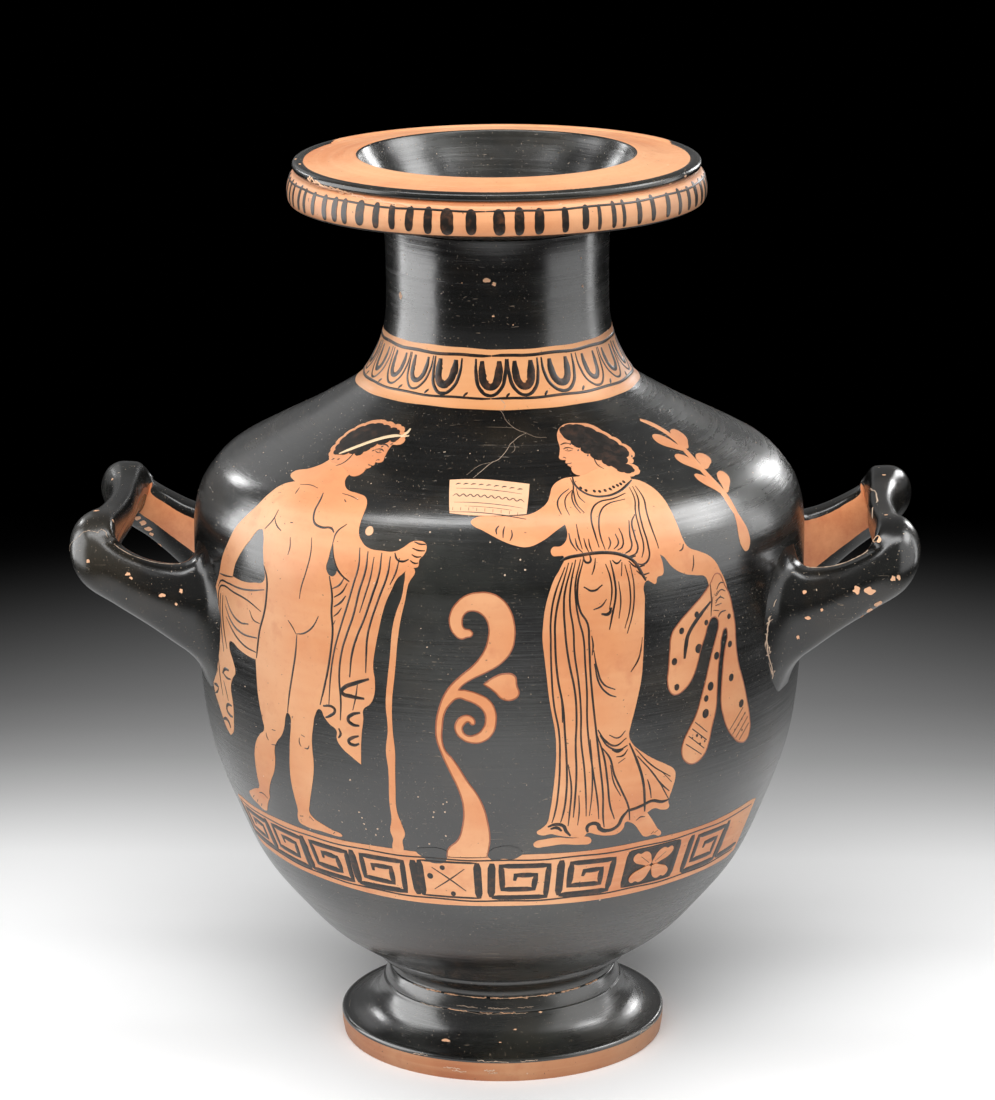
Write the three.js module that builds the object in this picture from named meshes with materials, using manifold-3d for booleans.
// A three-handled water jar, thrown in sections on the wheel and luted together.
// Millimetres, +Z up. The origin is on the jar's axis, in the plane that the foot stands on.
// The painted front faces -Y, the two lifting handles lie along X and the pouring handle is at +Y.
import * as THREE from "three";
import { mergeVertices } from "three/addons/utils/BufferGeometryUtils.js";
import Module from "manifold-3d";

// Heights of the sections, stacked from the ground up
const footHeight = 29.5;
const filletHeight = 10.5;
const bowlHeight = 177.7;
const shoulderHeight = 66;
const neckHeight = 68;
const mouthHeight = 28;

// Radii of the jar
const bellyRadius = 127.6;
const bowlBaseRadius = 56.8;
const neckBaseRadius = 61.2;
const neckRadius = 46;
const neckTopRadius = 47.2;

// Clay and joints
const wall = 5.5;
const bowlFloor = 12;
const seamGap = 0.45;
const seatGap = 0.3;

// Foot
const footRimRadius = 69.2;
const footRimHeight = 8.5;
const footUndercut = 1.5;
const footBevel = 1.8;
const footStemRadius = 48.2;
const footStepHeight = 6;
const footStepDepth = 0.6;
const footFlare = 2;
const standingRingWidth = 12.5;
const footBoreRadius = 34;

// Fillet between the foot and the bowl
const seatRadius = 45.8;
const filletBead = 1.6;
const filletOverhang = 6;

// Mouth
const lipRadius = 86.3;
const lipHeight = 19.8;
const mouthRadius = 57.9;
const lipSlope = 2;
const lipBeadRadius = 83.8;
const lipBeadHeight = 4.6;
const lipCoveDepth = 1;
const plateauRadius = 79.2;
const mouthRounding = 1.4;

// Lifting handles at the two sides
const handleReach = 33;
const handleRootDepth = 22.6;
const handleHalfSpan = 56.5;
const handleRootDrop = 22.5;
const handleRise = 33.3;
const handleHalfHeight = 11;
const handleHalfThickness = 9;

// Pouring handle at the back
const pourRootDepth = 4;
const pourRootDrop = 21;
const pourArch = 8;
const pourHalfWidth = 12;
const pourHalfThickness = 6.6;

// The wall's outline: how far out between its end and the belly, and how far up its stretch
const bowlShares = [[0, 0], [0.244, 0.067], [0.432, 0.146], [0.629, 0.247], [0.769, 0.365],
  [0.92, 0.534], [0.979, 0.702], [0.996, 0.88], [1, 1]];
const shoulderShares = [[0.994, 0.19], [0.959, 0.34], [0.892, 0.455], [0.79, 0.56], [0.59, 0.672],
  [0.298, 0.822], [0, 1]];
const neckShares = [[0.62, 0.085], [0.2, 0.26], [0.03, 0.43], [0, 0.62], [0.015, 0.87]];

// A side handle from its root to the middle of its bow: out, across and up
const sidePathShares = [[0, 0.68, -0.07], [0.281, 0.81, 0.09], [0.561, 0.92, 0.29], [0.8, 0.985, 0.5],
  [1.01, 0.97, 0.72], [1.065, 0.8, 0.92], [1.015, 0.42, 0.95], [0.985, 0, 0.96]];
const sideSectionShares = [[2.35, 1.4], [1.76, 1.14], [1.23, 0.95], [1, 0.89],
  [0.99, 1.04], [1.04, 1.08], [0.82, 0.74], [0.76, 0.66]];

// The pouring handle from the neck over its arch and down to the shoulder: out, arch and drop
const pourPathShares = [[0, 0, 0], [0.32, 0.8, 0], [0.63, 1, 0.012], [0.88, 0.55, 0.08],
  [1, 0, 0.25], [1.03, 0, 0.52], [1, 0, 0.77], [0.89, 0, 1]];
const pourSectionShares = [[1.5, 1.35], [1.12, 1.08], [1, 1], [0.98, 1],
  [0.96, 1], [1, 1.05], [1.28, 1.25], [1.7, 1.6]];
const pourBowShare = 0.42;
const pourFootShare = 0.515;
const innerFlatShare = 0.35;
const shoulderSeamShare = 0.273;
const ringsPerPlaceShare = 2.5;
const facetCount = 48;
const cornerCount = 14;

const wasm = await Module();
wasm.setup();

function solidOf(geometry) {
  const bare = geometry.clone();
  bare.deleteAttribute("normal");
  bare.deleteAttribute("uv");
  const merged = mergeVertices(bare);
  return new wasm.Manifold(new wasm.Mesh({
    numProp: 3,
    vertProperties: merged.attributes.position.array,
    triVerts: merged.index.array,
  }));
}

function geometryOf(solid) {
  const mesh = solid.getMesh();
  const geometry = new THREE.BufferGeometry();
  geometry.setAttribute("position", new THREE.BufferAttribute(mesh.vertProperties, 3));
  geometry.setIndex(new THREE.BufferAttribute(mesh.triVerts, 1));
  geometry.computeVertexNormals();
  return geometry;
}

// A profile of (radius, height) points turned once round the jar's axis
function revolve(profile) {
  const geometry = new THREE.LatheGeometry(profile, facetCount);
  geometry.rotateX(Math.PI / 2);
  return geometry;
}

function closedRing(points) {
  return revolve([...points, points[0].clone()]);
}

function point(radius, height) {
  return new THREE.Vector2(radius, height);
}

function arc(from, bend, to, steps) {
  return new THREE.QuadraticBezierCurve(from, bend, to).getPoints(steps);
}

const bowlBaseHeight = footHeight + filletHeight + seatGap;
const widestHeight = bowlBaseHeight + bowlHeight;
const shoulderSeamHeight = widestHeight + shoulderHeight * shoulderSeamShare;
const neckSeamHeight = widestHeight + shoulderHeight;
const neckTopHeight = neckSeamHeight + neckHeight;
const overallHeight = neckTopHeight + mouthHeight;
const upAxis = new THREE.Vector3(0, 0, 1);
const acrossAxis = new THREE.Vector3(1, 0, 0);

// One smooth outline from the bottom of the bowl to the top of the neck
function wallOutline() {
  const bowl = bowlShares.map(([out, up]) => point(
    THREE.MathUtils.lerp(bowlBaseRadius, bellyRadius, out),
    THREE.MathUtils.lerp(bowlBaseHeight, widestHeight, up)));
  const shoulder = shoulderShares.map(([out, up]) => point(
    THREE.MathUtils.lerp(neckBaseRadius, bellyRadius, out),
    THREE.MathUtils.lerp(widestHeight, neckSeamHeight, up)));
  const neck = neckShares.map(([out, up]) => point(
    THREE.MathUtils.lerp(neckRadius, neckBaseRadius, out),
    THREE.MathUtils.lerp(neckSeamHeight, neckTopHeight, up)));
  return new THREE.SplineCurve([...bowl, ...shoulder, ...neck, point(neckTopRadius, neckTopHeight)]);
}

const outline = wallOutline();
outline.arcLengthDivisions = 2000;
const outlineLength = outline.getLength();

// The share of the outline's length at a height, by halving
function shareAtHeight(height) {
  let low = 0;
  let high = 1;
  for (let step = 0; step < 40; step += 1) {
    const middle = (low + high) / 2;
    if (outline.getPointAt(middle).y < height) low = middle;
    else high = middle;
  }
  return (low + high) / 2;
}

// A point beside the outline: outwards for a positive distance, into the clay for a negative one
function beside(share, distance) {
  const place = outline.getPointAt(share);
  const along = outline.getTangentAt(share);
  return point(place.x + along.y * distance, place.y - along.x * distance);
}

function stretch(from, to, steps, distance) {
  return Array.from({ length: steps + 1 }, (_, step) => (
    beside(THREE.MathUtils.lerp(from, to, step / steps), distance)));
}

const gapShare = seamGap / outlineLength;
const scarfShare = wall / outlineLength;
const shoulderSeam = shareAtHeight(shoulderSeamHeight);
const neckSeam = shareAtHeight(neckSeamHeight);

// Where each section's outer face starts and ends along the outline, and its number of steps
const sections = {
  belly: { from: 0, to: shoulderSeam, outerSteps: 14, innerSteps: 10 },
  shoulder: { from: shoulderSeam + gapShare, to: neckSeam, outerSteps: 9, innerSteps: 7 },
  neck: { from: neckSeam + gapShare, to: 1, outerSteps: 8, innerSteps: 6 },
};

function outerFace({ from, to, outerSteps }, distance) {
  return stretch(from, to, outerSteps, distance);
}

// Foot: an upright reserved edge, a bevel, a concave flare, a turned step and a hollow underside
function footGeometry() {
  const footBaseRadius = footRimRadius - footUndercut;
  const bevelRadius = footRimRadius - footBevel;
  const bevelHeight = footRimHeight + footBevel;
  const stepHeight = footHeight - footStepHeight;
  const stepRadius = footStemRadius + footFlare;
  return closedRing([
    point(footBaseRadius, 0),
    point(footRimRadius, footRimHeight),
    ...arc(point(bevelRadius, bevelHeight), point(stepRadius + footFlare, bevelHeight + footFlare),
      point(stepRadius + footStepDepth, stepHeight), 6),
    point(stepRadius, stepHeight),
    point(footStemRadius, footHeight),
    ...arc(point(footBoreRadius, footHeight), point(footBoreRadius + footFlare, footFlare),
      point(footBaseRadius - standingRingWidth, 0), 6),
  ]);
}

// Fillet: a strip of clay laid round the joint, coved below and beaded above
function filletGeometry() {
  const inner = seatRadius + seatGap;
  const bottom = footHeight + seatGap;
  const top = footHeight + filletHeight;
  const beadRadius = footStemRadius + filletOverhang;
  return closedRing([
    point(inner, bottom),
    ...arc(point(footStemRadius, bottom), point(footStemRadius + filletBead, top - filletBead * 2),
      point(beadRadius, top - filletBead), 4),
    point(beadRadius, top),
    point(inner, top),
  ]);
}

// Belly: a bowl with a thick seat that stands on the foot inside the fillet
function bellyGeometry() {
  const section = sections.belly;
  const seatBottom = footHeight + seatGap;
  const inside = stretch(section.from, section.to - scarfShare, section.innerSteps, -wall).reverse();
  return revolve([
    point(0, seatBottom),
    point(seatRadius, seatBottom),
    point(seatRadius, bowlBaseHeight),
    ...outerFace(section, 0),
    ...inside,
    point(0, seatBottom + bowlFloor),
  ]);
}

// Shoulder: scarfed to the belly below and to the neck above
function shoulderGeometry() {
  const section = sections.shoulder;
  const inside = stretch(section.from - scarfShare, section.to - scarfShare, section.innerSteps, -wall);
  return closedRing([...outerFace(section, 0), ...inside.reverse()]);
}

// Neck: scarfed to the shoulder, with a level top for the mouth to sit on
function neckGeometry() {
  const section = sections.neck;
  const lastInner = shareAtHeight(neckTopHeight - wall / 2);
  const inside = stretch(section.from - scarfShare, lastInner, section.innerSteps, -wall);
  return closedRing([
    ...outerFace(section, 0),
    point(neckTopRadius - wall, neckTopHeight),
    ...inside.reverse(),
  ]);
}

// Mouth: a broad lip with a rounded band, a cove, a bead, a dished top and a funnel into the neck
function mouthGeometry() {
  const bottom = neckTopHeight + seatGap;
  const boreRadius = neckTopRadius - wall;
  const lipBottom = overallHeight - lipHeight;
  const plateauHeight = overallHeight - lipSlope;
  const beadBottom = plateauHeight - lipBeadHeight;
  const beadMiddle = plateauHeight - lipBeadHeight / 2;
  const coveRadius = lipBeadRadius - lipCoveDepth;
  const lipMiddle = (lipBottom + beadBottom) / 2;
  const dishRadius = (mouthRadius + plateauRadius * 2) / 3;
  return closedRing([
    point(boreRadius, bottom),
    point(neckTopRadius, bottom),
    ...arc(point(neckTopRadius + lipSlope, bottom + lipSlope / 2), point(dishRadius, lipBottom - lipSlope),
      point(lipBeadRadius, lipBottom), 3),
    ...arc(point(lipRadius - lipCoveDepth / 2, lipBottom + lipCoveDepth), point(lipRadius, lipMiddle),
      point(lipRadius - lipSlope, beadBottom - lipCoveDepth), 3),
    point(coveRadius, beadBottom),
    point(lipBeadRadius, beadMiddle),
    point(lipBeadRadius - lipCoveDepth, plateauHeight - lipCoveDepth / 2),
    point(plateauRadius + lipCoveDepth, plateauHeight),
    point(plateauRadius, plateauHeight - lipCoveDepth / 2),
    point(dishRadius, plateauHeight),
    point(mouthRadius, overallHeight),
    point(mouthRadius - mouthRounding, overallHeight - mouthRounding / 2),
    ...arc(point(mouthRadius - mouthRounding * 1.5, overallHeight - mouthRounding * 2),
      point(boreRadius + mouthRounding * 2, overallHeight - lipHeight), point(boreRadius, bottom + seatGap), 4),
  ]);
}

// Section of a handle: rounded outside, nearly flat on the face towards the fingers
function handleSection(halfHeight, halfThickness) {
  return Array.from({ length: cornerCount }, (_, corner) => {
    const angle = (corner / cornerCount) * Math.PI * 2;
    const outwards = Math.cos(angle);
    const out = outwards >= 0 ? outwards : -Math.pow(-outwards, innerFlatShare);
    return point(out * halfThickness, Math.sin(angle) * halfHeight);
  });
}

// A handle swept along a path, with its size changing as it goes and its ends closed
function sweptHandle(places, sizes, heightAxis) {
  const path = new THREE.CatmullRomCurve3(places, false, "centripetal");
  const size = new THREE.SplineCurve(sizes);
  const rings = Math.round((places.length - 1) * ringsPerPlaceShare);
  const vertices = [];
  for (let ring = 0; ring <= rings; ring += 1) {
    const centre = path.getPoint(ring / rings);
    const along = path.getTangent(ring / rings);
    const outwards = new THREE.Vector3().crossVectors(heightAxis, along).normalize();
    const upwards = new THREE.Vector3().crossVectors(along, outwards);
    const { x: halfHeight, y: halfThickness } = size.getPoint(ring / rings);
    handleSection(halfHeight, halfThickness).forEach((corner) => {
      const vertex = centre.clone().addScaledVector(outwards, corner.x).addScaledVector(upwards, corner.y);
      vertices.push(...vertex.toArray());
    });
  }
  const faces = [];
  for (let ring = 0; ring < rings; ring += 1) {
    for (let corner = 0; corner < cornerCount; corner += 1) {
      const next = (corner + 1) % cornerCount;
      const here = ring * cornerCount;
      const there = here + cornerCount;
      faces.push(here + corner, here + next, there + corner);
      faces.push(here + next, there + next, there + corner);
    }
  }
  for (let corner = 1; corner < cornerCount - 1; corner += 1) {
    const last = rings * cornerCount;
    faces.push(0, corner + 1, corner);
    faces.push(last, last + corner, last + corner + 1);
  }
  const geometry = new THREE.BufferGeometry();
  geometry.setAttribute("position", new THREE.Float32BufferAttribute(vertices, 3));
  geometry.setIndex(faces);
  return geometry;
}

// The jar's outer face grown by the seat gap, which trims each handle's roots to the wall
function wallCutter() {
  const faces = Object.values(sections).flatMap((section) => outerFace(section, seatGap));
  return solidOf(revolve([
    point(0, faces[0].y),
    ...faces,
    point(0, faces[faces.length - 1].y),
  ]));
}

const cutter = wallCutter();

function trimmed(geometry) {
  return geometryOf(solidOf(geometry).subtract(cutter));
}

// Lifting handle on the +X side: two arms out of the belly and an upturned bow between knuckles
function sideHandleGeometry() {
  const halfPath = sidePathShares.map(([out, across, up]) => new THREE.Vector3(
    THREE.MathUtils.lerp(bellyRadius - handleRootDepth, bellyRadius + handleReach, out),
    handleHalfSpan * across,
    widestHeight - handleRootDrop + handleRise * up));
  const otherHalf = halfPath.slice(0, -1).reverse().map(({ x, y, z }) => new THREE.Vector3(x, -y, z));
  const halfSizes = sideSectionShares.map(([height, thickness]) => (
    point(handleHalfHeight * height, handleHalfThickness * thickness)));
  const otherSizes = halfSizes.slice(0, -1).reverse();
  return trimmed(sweptHandle([...halfPath, ...otherHalf], [...halfSizes, ...otherSizes], upAxis));
}

// Pouring handle: an upright strap from the neck, under the lip, down to the shoulder
function pourHandleGeometry() {
  const topHeight = neckTopHeight - pourRootDrop;
  const footHeightOnShoulder = widestHeight + shoulderHeight * pourFootShare;
  const bowRadius = THREE.MathUtils.lerp(neckBaseRadius, bellyRadius, pourBowShare);
  const path = pourPathShares.map(([out, arch, drop]) => new THREE.Vector3(
    0,
    THREE.MathUtils.lerp(neckRadius - pourRootDepth, bowRadius, out),
    THREE.MathUtils.lerp(topHeight, footHeightOnShoulder, drop) + pourArch * arch));
  const sizes = pourSectionShares.map(([width, thickness]) => (
    point(pourHalfWidth * width, pourHalfThickness * thickness)));
  return trimmed(sweptHandle(path, sizes, acrossAxis));
}

const blackSlip = { color: 0x15120f, roughness: 0.24, metalness: 0 };
const reservedClay = { color: 0xd18a55, roughness: 0.6, metalness: 0 };

function piece(name, geometry, finish) {
  const mesh = new THREE.Mesh(geometry, new THREE.MeshStandardMaterial(finish));
  mesh.name = name;
  return mesh;
}

const hydria = new THREE.Group();
hydria.name = "hydria";
hydria.add(
  piece("foot", footGeometry(), blackSlip),
  piece("foot_fillet", filletGeometry(), blackSlip),
  piece("belly", bellyGeometry(), blackSlip),
  piece("shoulder", shoulderGeometry(), blackSlip),
  piece("neck", neckGeometry(), blackSlip),
  piece("mouth_ring", mouthGeometry(), reservedClay),
  piece("right_handle", sideHandleGeometry(), blackSlip),
  piece("back_handle", pourHandleGeometry(), blackSlip),
);

const leftHandle = piece("left_handle", sideHandleGeometry(), blackSlip);
leftHandle.rotation.z = Math.PI;
hydria.add(leftHandle);

export default hydria;
